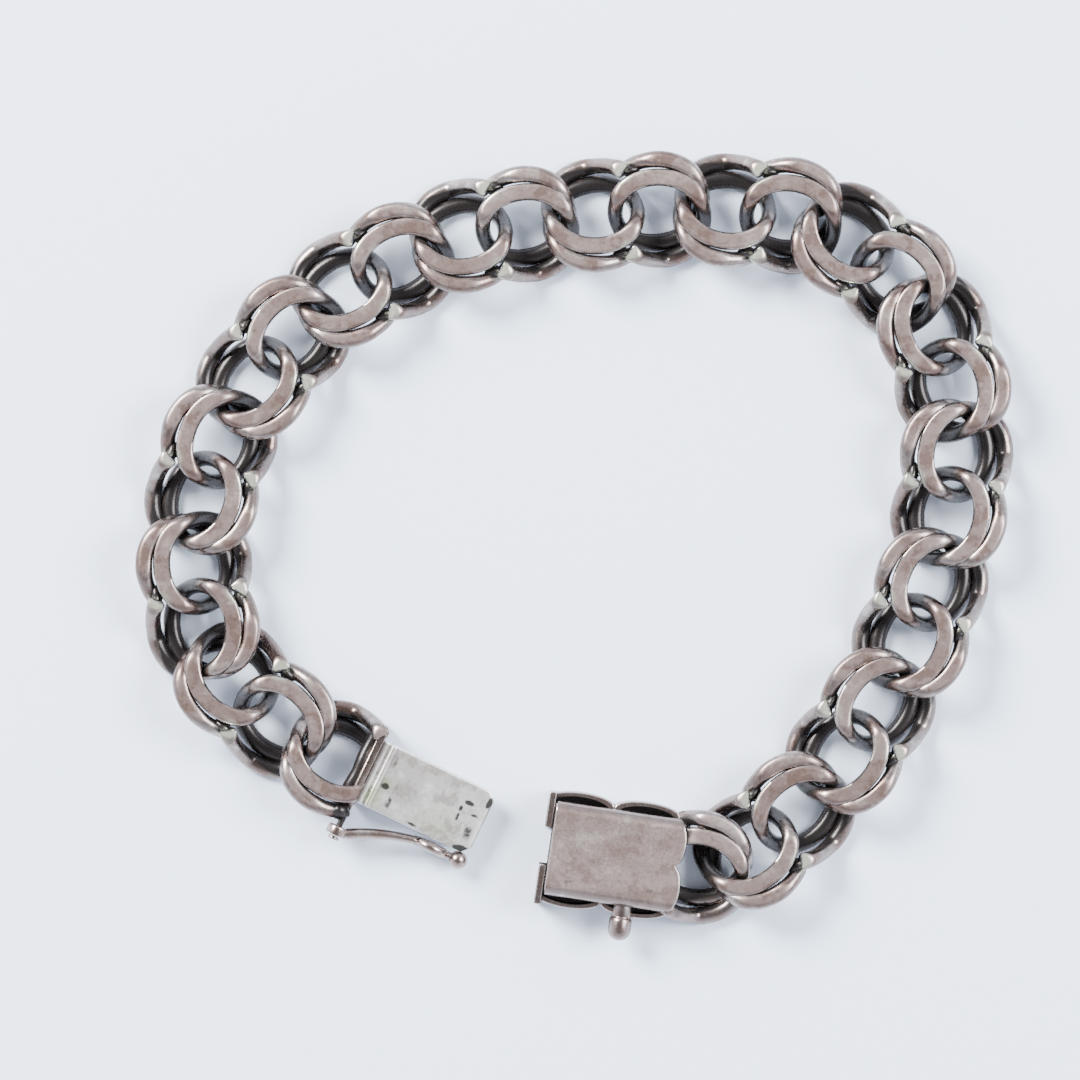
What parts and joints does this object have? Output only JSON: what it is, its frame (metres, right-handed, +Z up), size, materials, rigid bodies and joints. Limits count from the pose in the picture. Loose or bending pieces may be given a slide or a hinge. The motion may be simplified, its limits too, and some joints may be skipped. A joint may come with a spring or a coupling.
{
  "type": "bismarck chain bracelet",
  "caption": "Silver chain bracelet of paired soldered wire coils, lying open in a loop, with a box clasp, spring tongue and a swinging safety arm.",
  "frame": {"origin": "middle of the bracelet's bounding box, on the surface that it lies on", "axes": "+X along the loop's longest width with the clasp at -Y, +Z up from the surface"},
  "size_m": [0.0762, 0.0684, 0.0043],
  "materials": {
    "chain_silver": "tarnished silver, worn bright on the edges and dark in the recesses",
    "tongue_silver": "pale whitish silver with grey and green stains",
    "arm_silver": "polished silver with brown tarnish",
    "box_silver": "brushed tarnished silver with fine scratches"
  },
  "bodies": {
    "bracelet": {"link_01": "chain_silver", "link_02": "chain_silver", "link_03": "chain_silver", "link_04": "chain_silver", "link_05": "chain_silver", "link_06": "chain_silver", "link_07": "chain_silver", "link_08": "chain_silver", "link_09": "chain_silver", "link_10": "chain_silver", "link_11": "chain_silver", "link_12": "chain_silver", "link_13": "chain_silver", "link_14": "chain_silver", "tongue_end": "chain_silver", "spring_tongue": "tongue_silver", "clasp_box": "box_silver"},
    "arm": {"safety_arm": "arm_silver"}
  },
  "joints": [
    {"name": "arm_hinge", "type": "hinge", "parent": "bracelet", "child": "arm", "pos_m": [-0.01839, -0.01982, 0.00263], "axis": [-0.4368, -0.8996, 0], "range_deg": [0, 100]}
  ]
}
